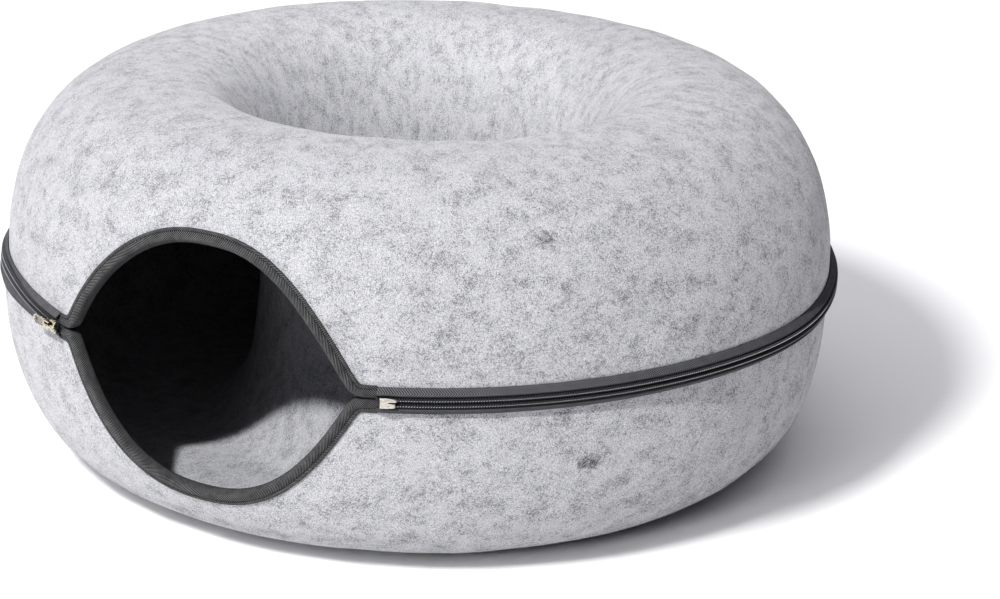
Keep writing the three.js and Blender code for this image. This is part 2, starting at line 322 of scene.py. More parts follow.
def main_lamp(name, angle, height, distance, size, power):
    """A disc lamp aimed at the bed's middle that does not fade with distance."""
    tilt = math.radians(height)
    way = Vector(around(angle, math.cos(tilt), math.sin(tilt))).normalized()
    middle = Vector((0, 0, SEAM_Z * MM))
    made = disc_lamp(name, middle + way * distance, middle, size, power)
    made.data.use_nodes = True
    fade = made.data.node_tree.nodes.new("ShaderNodeLightFalloff")
    fade.inputs["Strength"].default_value = 1.0
    glow = made.data.node_tree.nodes["Emission"]
    made.data.node_tree.links.new(fade.outputs["Constant"], glow.inputs["Strength"])
    return made


key_lamp = main_lamp("key_lamp", **KEY_LAMP)
floor_lamp = main_lamp("floor_lamp", **FLOOR_LAMP)
low_lamp = main_lamp("low_floor_lamp", **LOW_LAMP)
disc_lamp("fill_lamp", FILL_PLACE, FILL_AIM, FILL_SIZE, FILL_POWER)
for lamp in (key_lamp, floor_lamp, low_lamp):
    print(lamp.name, "stands at", [round(v, 2) for v in lamp.location])

# %% Floor and its lamps
FLOOR_REACH = 20.0
floor_corners = [
    (x * FLOOR_REACH, y * FLOOR_REACH, 0) for x, y in ((-1, -1), (1, -1), (1, 1), (-1, 1))
]
floor_mesh = bpy.data.meshes.new("floor")
floor_mesh.from_pydata(floor_corners, [], [(0, 1, 2, 3)])
floor = bpy.data.objects.new("floor", floor_mesh)
scene.collection.objects.link(floor)
for lamp, share in ((key_lamp, "EXCLUDE"), (floor_lamp, "INCLUDE"), (low_lamp, "INCLUDE")):
    lit = bpy.data.collections.new(lamp.name + "_floor")
    lit.objects.link(floor)
    lit.collection_objects[0].light_linking.link_state = share
    lamp.light_linking.receiver_collection = lit
    print(lamp.name, "and the floor:", share.lower())

# %% [markdown]
# ## A small kit for materials
#
# Each finish is a tree of nodes, and the same few steps come back: read a coordinate, stretch
# it, make noise, turn a range into a mask, mix two colours. Naming those steps once keeps the
# recipes short enough to read. Values that don't vary are set on the shader itself.

# %% Node helpers
class Finish:
    """A material under construction."""

    def __init__(self, name, **shader_values):
        self.material = bpy.data.materials.new(name)
        self.material.use_nodes = True
        self.tree = self.material.node_tree
        self.shader = self.tree.nodes["Principled BSDF"]
        for socket, value in shader_values.items():
            self.shader.inputs[socket.replace("_", " ")].default_value = value

    def node(self, kind, inputs=None, **settings):
        made = self.tree.nodes.new("ShaderNode" + kind)
        for key, value in settings.items():
            setattr(made, key, value)
        for key, value in (inputs or {}).items():
            self.feed(made.inputs[key], value)
        return made

    def feed(self, socket, value):
        if isinstance(value, bpy.types.NodeSocket):
            self.tree.links.new(value, socket)
        else:
            socket.default_value = value

    def place(self, attribute="lay", stretch=(1, 1, 1)):
        read = self.node("Attribute", attribute_name=attribute)
        return self.stretched(read.outputs["Vector"], stretch)

    def stretched(self, vector, stretch):
        return self.node("Mapping", {"Vector": vector, "Scale": stretch}).outputs["Vector"]

    def noise(self, vector, scale, detail=2.0, roughness=0.5, distortion=0.0):
        made = self.node("TexNoise", {
            "Vector": vector, "Scale": scale, "Detail": detail,
            "Roughness": roughness, "Distortion": distortion,
        })
        return made.outputs["Fac"]

    def between(self, value, low, high, to_low=0.0, to_high=1.0):
        made = self.node("MapRange", {
            "Value": value, "From Min": low, "From Max": high, "To Min": to_low, "To Max": to_high,
        }, interpolation_type="SMOOTHSTEP")
        return made.outputs["Result"]

    def math(self, operation, first, second=0.0):
        return self.node("Math", {0: first, 1: second}, operation=operation).outputs[0]

    def mix(self, factor, first, second):
        made = self.node("Mix", data_type="RGBA")
        self.feed(made.inputs["Factor"], factor)
        self.feed(made.inputs[6], first)
        self.feed(made.inputs[7], second)
        return made.outputs[2]

    def bump(self, height, distance_mm, strength=1.0, under=None):
        inputs = {"Height": height, "Distance": distance_mm * MM, "Strength": strength}
        if under is not None:
            inputs["Normal"] = under
        return self.node("Bump", inputs).outputs["Normal"]

    def finish(self, color=None, normal=None, roughness=None):
        for socket, value in (("Base Color", color), ("Normal", normal), ("Roughness", roughness)):
            if value is not None:
                self.feed(self.shader.inputs[socket], value)
        return self.material


def grey(value, blue=1.0):
    return (value, value, value * blue, 1)


print("steps in the kit:", [step for step in vars(Finish) if not step.startswith("_")])

# %% [markdown]
# ## Floor finish
#
# White paper is never quite even, so the floor's colour drifts by a hair. It stays pale enough
# to be white where its lamps reach it, and it throws light back up on the bed.

# %% Paper floor
paper = Finish("white_paper", Roughness=0.9)
paper_drift = paper.noise(paper.node("TexCoord").outputs["Object"], 3.0)
floor_mesh.materials.append(paper.finish(color=paper.mix(paper_drift, grey(0.94), grey(0.97))))
print("floor finish:", floor_mesh.materials[0].name)

# %% [markdown]
# ## Far paper
#
# The lamps are set for the paper around the bed. Further off they only graze it and leave it
# grey, which shows when the camera looks along the floor. In a studio the far paper sweeps up
# into a wall and has lights of its own. One ring that glows evenly does both jobs. It fades in
# well outside the shadow, and only the camera sees it, so it throws no light on the bed.

# %% Paper sweep
FADE_FROM, FADE_TO = 1.1, 2.0
# columns: distance from the bed's middle, height (m)
SWEEP = (
    (FADE_FROM, 0.001), (FADE_TO, 0.001), (15, 0.001), (18, 0.8), (19.2, 2.4), (20, 6), (20, 20),
)
SWEEP_STEPS = 96
sweep_turns = [2 * math.pi * step / SWEEP_STEPS for step in range(SWEEP_STEPS)]
sweep_points = [
    (r * math.cos(turn), r * math.sin(turn), z) for r, z in SWEEP for turn in sweep_turns
]
without_caps = strip_faces(len(SWEEP), SWEEP_STEPS)[:-2]
sweep_mesh = bpy.data.meshes.new("paper_sweep")
sweep_mesh.from_pydata(sweep_points, [], without_caps)
paper_sweep = bpy.data.objects.new("paper_sweep", sweep_mesh)
scene.collection.objects.link(paper_sweep)
for kind in ("diffuse", "glossy", "transmission", "volume_scatter", "shadow"):
    setattr(paper_sweep, "visible_" + kind, False)

glow = Finish("glowing_paper", Base_Color=grey(0), Emission_Color=grey(1), Emission_Strength=1.0)
spot = glow.node("TexCoord").outputs["Object"]
from_middle = glow.node("VectorMath", {0: spot}, operation="LENGTH").outputs["Value"]
fade_in = glow.between(from_middle, FADE_FROM, FADE_TO)
glow.feed(glow.shader.inputs["Alpha"], fade_in)
sweep_mesh.materials.append(glow.finish())
print("paper sweep reaches", SWEEP[-1], "m out and up")

# %% [markdown]
# ## Felt finish
#
# Needle felt is a mat of fine fibres. Most are nearly white, some are charcoal, and they are
# never evenly mixed: the dark ones gather in soft clouds and a few tight clumps. Each fibre is
# a short stroke that leans to one side or the other of the way the felt was drawn over the
# mould. Noise squeezed into thin strokes gives the fibres, one set leaning left, one right and
# one around the ring, and rounder noise gives clouds and clumps. Two dark knots, where charcoal
# fibre was caught, have places of their own. A little sheen stands for the fuzz.

# %% Fibre pattern on the felt
LAY_RADIUS = 0.22
PATTERN_START = {"upper": 0.0, "lower": 3000.0}


def felt_lay(half, angle, run, lean=0.0):
    """Where a place on the felt lies in the fibre pattern, in metres."""
    run = run + PATTERN_START[half]
    a = np.radians(angle) + lean * run * MM
    return np.stack([np.sin(a) * LAY_RADIUS, -np.cos(a) * LAY_RADIUS, run * MM], -1)


print("the pattern starts at", felt_lay("upper", 0, 0.0), "on the upper half")

# %% Felt material
PALE_FELT = (0.65, 0.652, 0.68, 1)
MID_FELT = (0.36, 0.361, 0.377, 1)
DARK_FIBRE = (0.06, 0.06, 0.066, 1)
# columns: half, angle in degrees, distance from the zip and reach in mm, tightness
KNOTS = (("upper", 16.4, 100.0, 16.0, 0.42), ("lower", 21.8, 50.7, 13.0, 0.6))


def felt_material():
    felt = Finish("grey_needle_felt", Roughness=0.95, Sheen_Weight=0.2, Sheen_Roughness=0.5)
    felt.shader.inputs["Specular IOR Level"].default_value = 0.15
    plain, left, right = felt.place("lay"), felt.place("lay_left"), felt.place("lay_right")
    clouds = felt.noise(plain, 75.0, detail=6.0, roughness=0.75)
    clumps = felt.noise(plain, 55.0, detail=7.0, roughness=0.7)
    speck = felt.noise(felt.stretched(plain, (1, 1, 0.6)), 2400.0, detail=1.0)
    hairs = [
        felt.noise(felt.stretched(lay, stroke), scale, detail=1.0, distortion=0.8)
        for lay, stroke, scale in (
            (left, (1, 1, 0.24), 2000.0),
            (right, (1, 1, 0.24), 2150.0),
            (plain, (0.3, 0.3, 1), 2050.0),
        )
    ]
    gather = felt.math("MULTIPLY", clouds, 0.54)
    darks = [
        felt.between(felt.math("SUBTRACT", hair, gather), 0.0, 0.16, 1.0, 0.0) for hair in hairs
    ]
    dark = felt.math("MAXIMUM", felt.math("MAXIMUM", darks[0], darks[1]), darks[2])

    pale = felt.mix(felt.between(speck, 0.34, 0.66), MID_FELT, PALE_FELT)
    shaded = felt.mix(felt.between(clouds, 0.40, 0.75, 0.0, 0.25), pale, MID_FELT)
    flecked = felt.mix(felt.math("MULTIPLY", dark, 0.7), shaded, DARK_FIBRE)
    tufts = felt.between(felt.noise(plain, 20.0, detail=5.0, roughness=0.65), 0.68, 0.77)
    knots = felt.math("MAXIMUM", felt.between(clumps, 0.63, 0.74), tufts)
    tight = felt.math("MULTIPLY", knots, felt.between(speck, 0.3, 0.6, 0.85, 0.2))
    color = felt.mix(tight, flecked, DARK_FIBRE)

    ragged = felt.noise(plain, 240.0, detail=4.0, roughness=0.7)
    for half, angle, run, reach, tightness in KNOTS:
        middle = felt_lay(half, angle, np.float64(run))
        away = felt.node("VectorMath", {0: plain, 1: middle}, operation="DISTANCE").outputs["Value"]
        near = felt.between(away, 0.0, reach * MM, tightness, 0.0)
        knot = felt.between(felt.math("ADD", near, ragged), 0.72, 1.0)
        strands = felt.between(hairs[0], 0.35, 0.6, 0.95, 0.4)
        color = felt.mix(felt.math("MULTIPLY", knot, strands), color, DARK_FIBRE)

    nap = felt.math("ADD", felt.math("ADD", hairs[0], hairs[1]), speck)
    fuzz = felt.bump(nap, 0.5, 0.7)
    return felt.finish(color=color, normal=fuzz)


FELT_MATERIAL = felt_material()
print("felt nodes:", len(FELT_MATERIAL.node_tree.nodes))

# %% [markdown]
# ## The felt halves
#
# A felt half is one sheet pressed over a mould: an outer face, an inner face 5 mm behind it and
# the cut edges between them. As a grid it needs no cutting tools. Each column starts at the
# zip, or at the entrance's edge where there is one, and runs over the crown into the hole. A
# hand-pressed sheet is never perfectly smooth, so a few gentle waves of different lengths swell
# the face by a fraction of a millimetre, except near the edges, where tape holds it down, and
# on the base. Soft halves never meet quite flush either: at the far left the lower one stands
# out a little. The "lay" runs around and along the felt, and its two leaning copies are twisted
# a little more the further they are from the zip.

# %% Gentle unevenness
rng = np.random.default_rng(11)
WAVES = 28
wave_lengths = rng.uniform(35, 120, WAVES) * MM
wave_ways = rng.normal(size=(WAVES, 3))
wave_ways /= np.linalg.norm(wave_ways, axis=1, keepdims=True)
wave_phases = rng.uniform(0, 2 * math.pi, WAVES)


def unevenness(points):
    """Between about -1 and 1, the same for the same place."""
    swing = points @ (wave_ways / wave_lengths[:, None]).T * 2 * math.pi + wave_phases
    return np.sin(swing).sum(-1) / math.sqrt(WAVES)


# angle and reach in degrees, height in mm
BULGE_ANGLE, BULGE_REACH, BULGE = 287.0, 12.5, 5.2


def lower_bulge(angle):
    """How far the lower half's edge stands out past the upper one's, at the far left, in mm."""
    off = (np.asarray(angle) % 360 - BULGE_ANGLE) / BULGE_REACH
    return BULGE * np.exp(-(off**2))


print("the lower edge stands out", lower_bulge(BULGE_ANGLE), "mm at most")

# %% Where the felt starts
ZIP_SEAM = 2.0
BINDING_HALF_ANGLE = 24.4
BINDING_ROOM = 1.65


def felt_columns():
    near = np.arange(-25, 25, 0.4) + ENTRANCE_ANGLE
    far = np.linspace(25, 335, 345, endpoint=False) + ENTRANCE_ANGLE
    return np.concatenate([near, far])


def felt_start(angles):
    """Where the felt begins at each angle, in millimetres from the zip line."""
    turn = (angles - ENTRANCE_ANGLE + 180) % 360 - 180
    cut = entrance_edge(ENTRANCE_ANGLE + turn) + BINDING_ROOM
    return np.where(np.abs(turn) < BINDING_HALF_ANGLE, cut, ZIP_SEAM / 2)


at_entrance = felt_start(felt_columns()) > ZIP_SEAM
print(at_entrance.sum(), "of", len(at_entrance), "columns start at the entrance")

# %% Felt meshes
FELT = 5.0
FELT_ROWS = 64
HOLE_ROOM = 0.15
# the waves are this high, start this far from an edge and grow over this much felt (mm)
SWELL = 0.45
TAPED, EASE, BASE_EASE = 8, 25, 15
BULGE_DEPTH = 110
LEAN = 2.0
INSIDE_SHIFT = 0.5


def both_faces(lay):
    """The outer face's lay, then the inner face's, which shows other fibres."""
    return np.concatenate([lay, lay[:, ::-1] + INSIDE_SHIFT], 1)


def felt_half(half):
    angles = felt_columns()
    start = felt_start(angles)
    length = LINES[half]["run"][-1] - HOLE_ROOM
    run = start[:, None] + (length - start)[:, None] * np.linspace(0, 1, FELT_ROWS)
    angle = np.repeat(angles[:, None], FELT_ROWS, 1)
    flat = on_felt(half, angle, run, 0)
    free = np.clip(np.minimum(run - start[:, None] - TAPED, length - run) / EASE, 0, 1)
    free = free * np.clip(flat[..., 2] / MM / BASE_EASE, 0, 1)
    swell = SWELL * free * unevenness(flat)
    if half == "lower":
        swell += lower_bulge(angle) * np.cos(np.clip(run / BULGE_DEPTH, 0, 1) * math.pi / 2) ** 2
    outer = on_felt(half, angle, run, swell)
    inner = on_felt(half, angle, run, swell - FELT)
    lays = {
        "lay": both_faces(felt_lay(half, angle, run)),
        "lay_left": both_faces(felt_lay(half, angle, run, LEAN)),
        "lay_right": both_faces(felt_lay(half, angle, run, -LEAN)),
    }
    grid = np.concatenate([outer, inner[:, ::-1]], 1)
    piece = make_strip(half + "_felt", grid, lays, joined=True)
    piece.data.materials.append(FELT_MATERIAL)
    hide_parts("felt_" + half)
    return piece


felt_pieces = {}
for half in ("upper", "lower"):
    felt_pieces[half] = felt_half(half)
    faces = felt_pieces[half].data.polygons
    area = sum(face.area for face in faces) / 2
    print(half, "felt:", len(faces), "faces,", round(area, 3), "m2 of sheet")

# %% [markdown]
# ## Binding finish
#
# The entrance is bound with charcoal herringbone tape. Its fine ribs slant one way on one side
# of the stitch line and the other way on the other side. A sine of the distance along plus the
# distance from the stitch line draws them, and the same value lifts them as bump. A slow drift
# in colour keeps the tape from looking printed.

# %% Binding material
def ribbed_material(name, dark, light, rib_mm, slant, fold_mm):
    tape = Finish(name, Roughness=0.85, Sheen_Weight=0.05)
    tape.shader.inputs["Specular IOR Level"].default_value = 0.25
    lay = tape.node("SeparateXYZ", {"Vector": tape.place()})
    off_fold = tape.math("ABSOLUTE", tape.math("SUBTRACT", lay.outputs["Y"], fold_mm * MM))
    slanted = tape.math("ADD", lay.outputs["X"], tape.math("MULTIPLY", off_fold, slant))
    rib = tape.math("SINE", tape.math("MULTIPLY", slanted, 2 * math.pi / (rib_mm * MM)))
    drift = tape.noise(tape.place(), 160.0, detail=3.0)
    lift = tape.between(tape.math("ADD", rib, tape.math("MULTIPLY", drift, 1.2)), 0.4, 1.6)
    normal = tape.bump(lift, 0.35, 0.9)
    return tape.finish(color=tape.mix(lift, dark, light), normal=normal)


STITCH_LINE = 3.4
BINDING_MATERIAL = ribbed_material(
    "charcoal_herringbone", grey(0.018, 1.04), grey(0.21, 1.0), 1.6, -1.33, STITCH_LINE,
)
print("binding nodes:", len(BINDING_MATERIAL.node_tree.nodes))

# %% [markdown]
# ## The bindings
#
# Each arch of the entrance has its own length of tape, folded over the felt's edge and sewn
# through. Seen from the felt it has a flat band, then the groove that the stitches pull in,
# then a fuller roll around the edge. That section is a short list of points, carried along the
# entrance's curve and turned with it.

# %% Binding section and path
# columns: distance into the felt from its cut edge, height off the felt's outer face (mm)
BINDING_SECTION = np.array([
    (7.15, 0.45), (7.2, 1.0), (6.7, 1.3), (5.8, 1.35), (5.0, 1.2), (4.55, 0.85), (4.1, 1.2),
    (3.3, 1.65), (2.1, 1.95), (0.6, 1.95), (-0.7, 1.55), (-1.45, 0.7), (-1.7, -0.8),
    (-1.75, -2.5), (-1.7, -4.3), (-1.4, -5.7), (-0.6, -6.5), (0.6, -6.85), (4.4, -6.75),
    (7.15, -6.6), (7.15, -5.5), (0.4, -5.45), (-0.35, -5.2), (-0.45, -2.5), (-0.35, 0.2),
    (0.4, 0.45),
])
BINDING_STATIONS = 260


def entrance_path(half_angle, stations):
    """Angles spaced evenly along the entrance's edge, the run along it, and its slope."""
    fine = ENTRANCE_ANGLE + np.linspace(-half_angle, half_angle, 4001)
    across = np.radians(fine) * WALL_RADIUS
    up = entrance_edge(fine)
    run = np.concatenate([[0], np.cumsum(np.hypot(np.diff(across), np.diff(up)))])
    even = np.linspace(0, run[-1], stations)
    slope = np.arctan2(np.gradient(up), np.gradient(across))
    return np.interp(even, run, fine), even, np.interp(even, run, slope)


def by_entrance(half, angle, slope, inward, out):
    """A point a little way into the felt from the entrance's cut edge, square to that edge."""
    turned = angle - np.degrees(inward * np.sin(slope) / WALL_RADIUS)
    run = entrance_edge(angle) + BINDING_ROOM + inward * np.cos(slope)
    return on_felt(half, turned, run, out)


print("the binding is", np.ptp(BINDING_SECTION[:, 0]).round(1), "mm wide on the felt")


# %% Binding strips
def binding(half):
    angle, run, slope = entrance_path(BINDING_HALF_ANGLE, BINDING_STATIONS)
    inward, out = BINDING_SECTION.T
    grid = by_entrance(half, angle[:, None], slope[:, None], inward[None], out[None])
    steps = np.linalg.norm(np.diff(BINDING_SECTION, axis=0), axis=1)
    girth = np.concatenate([[0], np.cumsum(steps)])
    along, across = np.broadcast_arrays(run[:, None] * MM, girth[None] * MM)
    piece = make_strip(half + "_binding", grid, {"lay": np.stack([along, across, 0 * along], -1)})
    piece.data.materials.append(BINDING_MATERIAL)
    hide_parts("binding_" + half)
    print(half, "binding:", round(run[-1]), "mm of tape")
    return piece


binding_pieces = {half: binding(half) for half in ("upper", "lower")}


# %% [markdown]
# ## Stitches
#
# A row of lockstitch looks like a row of grains, each pulled tight at its ends. One small
# six-sided grain is enough, copied along the seam as part of a single mesh. Real thread on a
# curve object would be heavier and no better at this size.

# %% Grains of thread
GRAIN_RINGS = ((-0.5, 0.25), (-0.3, 0.85), (0.0, 1.0), (0.3, 0.85), (0.5, 0.25))
GRAIN_SIDES = 6


def stitch_row(name, middles, alongs, outs, length, thickness, material):
    """Grains of thread: middles in metres, unit directions, sizes in millimetres."""
    sides = np.cross(alongs, outs)
    turn = np.arange(GRAIN_SIDES) / GRAIN_SIDES * 2 * math.pi
    rings = [
        middles[:, None] + (alongs * (at * length * MM))[:, None]
        + (sides[:, None] * np.cos(turn)[:, None] + outs[:, None] * np.sin(turn)[:, None])
        * (size * thickness / 2 * MM)
        for at, size in GRAIN_RINGS
    ]
    points = np.stack(rings, 1).reshape(-1, 3)
    one = strip_faces(len(GRAIN_RINGS), GRAIN_SIDES)
    size = len(GRAIN_RINGS) * GRAIN_SIDES
    faces = [tuple(v + size * i for v in face) for i in range(len(middles)) for face in one]
    piece = make_piece(name, points, faces, sharp=80)
    piece.data.materials.append(material)
    print(name, "has", len(middles), "stitches")
    return piece


def unit(vectors):
    return vectors / np.linalg.norm(vectors, axis=-1, keepdims=True)


def thread_material(name, dark, light, shine):
    thread = Finish(name, Roughness=shine)
    twist = thread.noise(thread.node("TexCoord").outputs["Object"], 900.0)
    return thread.finish(color=thread.mix(twist, dark, light))


DARK_THREAD = thread_material("charcoal_thread", grey(0.012), grey(0.03), 0.7)
print("thread finish:", DARK_THREAD.name)

# %% Stitches on the bindings
STITCH_PITCH = 3.0
STITCH_LENGTH, STITCH_THICKNESS = 2.6, 0.55
STITCH_INWARD, STITCH_OUT, ABOVE_STITCH = 4.55, 0.95, 2.0
STITCH_HALF_ANGLE = BINDING_HALF_ANGLE - 1
for half in ("upper", "lower"):
    length = entrance_path(STITCH_HALF_ANGLE, 10)[1][-1]
    angle, _, slope = entrance_path(STITCH_HALF_ANGLE, int(length / STITCH_PITCH))
    middles = by_entrance(half, angle, slope, STITCH_INWARD, STITCH_OUT)
    outs = unit(by_entrance(half, angle, slope, STITCH_INWARD, ABOVE_STITCH) - middles)
    alongs = unit(np.gradient(middles, axis=0))
    stitch_row(
        half + "_binding_stitches", middles, alongs, outs, STITCH_LENGTH, STITCH_THICKNESS,
        DARK_THREAD,
    )

# %% [markdown]
# ## Zip tapes
#
# A zip tape is woven flat and sewn to the felt along its outer edge. From there it lifts away,
# because the closed zip is a little longer round than the felt, rolls over and passes behind
# the row of teeth. That section is again a short list of points. At the far left, where the
# lower half stands out, the tape is pulled flat, its face turns up and the teeth ride higher.
# The weave is a fine herringbone: twill that changes its slant in narrow stripes.

# %% Tape weave
def herringbone_material(name, dark, light, rib_mm, stripe_mm):
    weave = Finish(name, Roughness=0.85)
    weave.shader.inputs["Specular IOR Level"].default_value = 0.12
    lay = weave.node("SeparateXYZ", {"Vector": weave.place()})
    zigzag = weave.math("PINGPONG", lay.outputs["Y"], stripe_mm * MM)
    slanted = weave.math("ADD", lay.outputs["X"], weave.math("MULTIPLY", zigzag, 1.2))
    rib = weave.math("SINE", weave.math("MULTIPLY", slanted, 2 * math.pi / (rib_mm * MM)))
    drift = weave.noise(weave.place(), 140.0, detail=3.0)
    lift = weave.between(weave.math("ADD", rib, drift), -0.8, 1.6)
    return weave.finish(color=weave.mix(lift, dark, light), normal=weave.bump(lift, 0.18, 0.7))


TAPE_MATERIAL = herringbone_material(
    "charcoal_zip_tape", grey(0.033, 1.08), grey(0.155, 1.04), 1.7, 3.0,
)
print("tape nodes:", len(TAPE_MATERIAL.node_tree.nodes))

# %% The line of the zip
# angles and reaches in degrees, heights in mm
ZIP_START, ZIP_END, TAPE_END = -5.0, 306.2, 306.7
ZIP_DROP = 0.2
SAG_ANGLE, SAG_REACH, SAG_DEPTH = 66.0, 20.0, 4.6
RISE_ANGLE, RISE_REACH, RISE = 290.0, 14.0, 6.5


def tape_angles(step_mm):
    span = math.radians(TAPE_END - ZIP_START) * WALL_RADIUS
    return np.linspace(ZIP_START, TAPE_END, int(span / step_mm))


def coil_rise(angle):
    """How far the teeth sit above the middle of the zip near the slider, in mm."""
    return RISE * np.exp(-(((np.asarray(angle) - RISE_ANGLE) / RISE_REACH) ** 2))


def zip_height(angle):
    """Height of the teeth: they hang a little, most at the right of the picture."""
    off = (np.asarray(angle) - SAG_ANGLE) / SAG_REACH
    return SEAM_Z - ZIP_DROP - SAG_DEPTH * np.exp(-(off**2)) + coil_rise(angle)


print("the teeth lie", zip_height(tape_angles(4.0)).min().round(1), "to",
      zip_height(tape_angles(4.0)).max().round(1), "mm above the floor")

# %% Tape strips
TAPE_THICKNESS = 0.8
# columns: distance from the zip's middle, height of the tape's back off the felt (mm)
TAPE_SECTION = np.array([
    (8.6, 0.4), (7.8, 1.0), (6.8, 2.5), (5.8, 3.7), (4.9, 4.2), (4.2, 4.0), (3.7, 3.3),
    (3.2, 2.5), (2.0, 2.2), (0.5, 2.2),
])
# share of the teeth's rise that the sewn edge follows, and of the tape that keeps to the felt
EDGE_RISE = 0.6
FELT_SIDE = 0.45
# shares of the lower half's bulge that the tape's edges and the teeth follow
EDGE_SHARE = {"upper": 0.0, "lower": 1.0}
TEETH_SHARE = {"upper": -0.3, "lower": -0.1}


def zip_tape(half):
    sign = 1 if half == "upper" else -1
    angles = tape_angles(4.0)[:, None]
    reach, off_felt = TAPE_SECTION.T[:, None]
    reach = reach * (1 - sign * (1 - EDGE_RISE) * coil_rise(angles) / reach[0, 0])
    sewn_run = reach[:, :1] + sign * (zip_height(angles) - SEAM_Z)
    sewn_radius = np.interp(sewn_run, LINES[half]["run"], LINES[half]["points"][:, 0])
    to_teeth = 1 - TAPE_SECTION[:, 0] / TAPE_SECTION[0, 0]
    pulled_flat = lower_bulge(angles) / BULGE
    straight = np.interp(to_teeth, to_teeth[[0, -1]], off_felt[0, [0, -1]])
    off_felt = off_felt + (straight - off_felt) * pulled_flat
    share = np.interp(to_teeth, [FELT_SIDE, 1], [EDGE_SHARE[half], TEETH_SHARE[half]])
    back_radius = sewn_radius + off_felt + share * lower_bulge(angles)
    height = zip_height(angles) + sign * reach
    back = around(angles, back_radius, height)
    front = around(angles, back_radius + TAPE_THICKNESS, height)
    grid = np.concatenate([front, back[:, ::-1]], 1)
    along, across = np.broadcast_arrays(np.radians(angles) * WALL_RADIUS * MM, reach * MM)
    lay = np.stack([along, across, 0 * along], -1)
    lays = {"lay": np.concatenate([lay, lay[:, ::-1]], 1)}
    piece = make_strip(half + "_zip_tape", grid, lays)
    piece.data.materials.append(TAPE_MATERIAL)
    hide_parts("zip_tape_" + half)
    return piece


for half in ("upper", "lower"):
    piece = zip_tape(half)
    print(piece.name, "has", len(piece.data.polygons), "faces")

# %% [markdown]
# ## Coil teeth
#
# The teeth of a coil zip are one long nylon spring on each tape, sewn down with a row of thread.
# A helix tube shows the loops. Stitch grains on its outside are pale, a painted highlight that
# stands for the glint of light on each loop. They show as two dotted lines along the closed zip,
# with a dark groove between them where the loops mesh.

# %% Coil springs
COIL_CENTRE = 300.4
COIL_RADIUS = 1.7
COIL_PITCH = 1.74
COIL_POINTS = 9
WIRE = 0.55
WIRE_SIDES = 5
OFF_MIDDLE = COIL_RADIUS + 0.15


def nylon_material():
    nylon = Finish("black_nylon", Roughness=0.45)
    nylon.shader.inputs["Specular IOR Level"].default_value = 0.3
    worn = nylon.noise(nylon.node("TexCoord").outputs["Object"], 260.0, detail=2.0)
    return nylon.finish(color=nylon.mix(worn, grey(0.045, 1.1), grey(0.075, 1.1)))


NYLON = nylon_material()


def coil(half):
    sign = 1 if half == "upper" else -1
    span = math.radians(ZIP_END - ZIP_START) * COIL_CENTRE
    turns = int(span / COIL_PITCH)
    share = np.linspace(0, 1, turns * COIL_POINTS + 1)
    angle = ZIP_START + (ZIP_END - ZIP_START) * share
    turn = share * turns * 2 * math.pi
    loop = COIL_RADIUS - WIRE
    middle_z = zip_height(angle) + sign * OFF_MIDDLE
    centre = COIL_CENTRE + TEETH_SHARE[half] * lower_bulge(angle)
    line = around(angle, centre + loop * np.cos(turn), middle_z + sign * loop * np.sin(turn))
    core = around(angle, centre, middle_z)
    outs = unit(line - core)
    ways = unit(np.gradient(line, axis=0))
    sides = np.cross(ways, outs)
    spin = np.arange(WIRE_SIDES) / WIRE_SIDES * 2 * math.pi
    grid = line[:, None] + WIRE * MM * (
        outs[:, None] * np.cos(spin)[:, None] + sides[:, None] * np.sin(spin)[:, None]
    )
    piece = make_strip(half + "_coil", grid, sharp=180)
    piece.data.materials.append(NYLON)
    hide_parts("zip_coil_" + half)
    print(piece.name, "has", turns, "loops")
    return piece


for half in ("upper", "lower"):
    coil(half)

# %% Rows of thread over the coils, pale as painted highlights
# the thread's pale colour is a painted highlight: the glint of light on each loop of the coil
PAINTED_GLINT_THREAD = thread_material("painted_glint_thread", grey(0.2, 1.03), grey(0.36, 1.03), 0.5)
# degrees of coil left bare at the row's start and end, and mm that the thread sinks in
ROW_STARTS, ROW_ENDS, SUNK = 1.2, 0.6, 0.05
LOOP_LENGTH, LOOP_THICKNESS = 1.05, 0.8
SLANT_ALONG, SLANT_UP = 0.75, 0.65
for half, sign in (("upper", 1), ("lower", -1)):
    count = int(math.radians(ZIP_END - ZIP_START) * COIL_CENTRE / COIL_PITCH)
    angle = np.linspace(ZIP_START + ROW_STARTS, ZIP_END - ROW_ENDS, count)
    row_z = zip_height(angle) + sign * OFF_MIDDLE
    centre = COIL_CENTRE + TEETH_SHARE[half] * lower_bulge(angle)
    middles = around(angle, centre + COIL_RADIUS - SUNK, row_z)
    outs = unit(around(angle, 1.0, 0.0))
    along = unit(around(angle + 90, 1.0, 0.0))
    slant = unit(along * SLANT_ALONG + np.array([0, 0, SLANT_UP]))
    stitch_row(
        half + "_coil_glint_stitches", middles, slant, outs, LOOP_LENGTH, LOOP_THICKNESS,
        PAINTED_GLINT_THREAD,
    )

# %% [markdown]
# ## Metal fittings
#
# The slider, its pull and the stop are stamped or cast, so they are flat outlines with softened
# edges. A 2D curve is the quick way to such a plate: it takes holes, a thickness and a rounded
# edge, and then becomes a mesh. Each is drawn flat, x along the zip and y up, and stood on the
# zip by one matrix.

# %% Metal finishes
def metal_material(name, dark, light, shine):
    metal = Finish(name, Metallic=1.0)
    where = metal.node("TexCoord").outputs["Object"]
    rub = metal.noise(metal.stretched(where, (1, 1, 3)), 700.0, detail=3.0)
    roughness = metal.between(rub, 0.3, 0.75, shine, shine + 0.2)
    worn = metal.mix(metal.between(rub, 0.35, 0.62), dark, light)
    return metal.finish(color=worn, roughness=roughness, normal=metal.bump(rub, 0.1, 0.6))


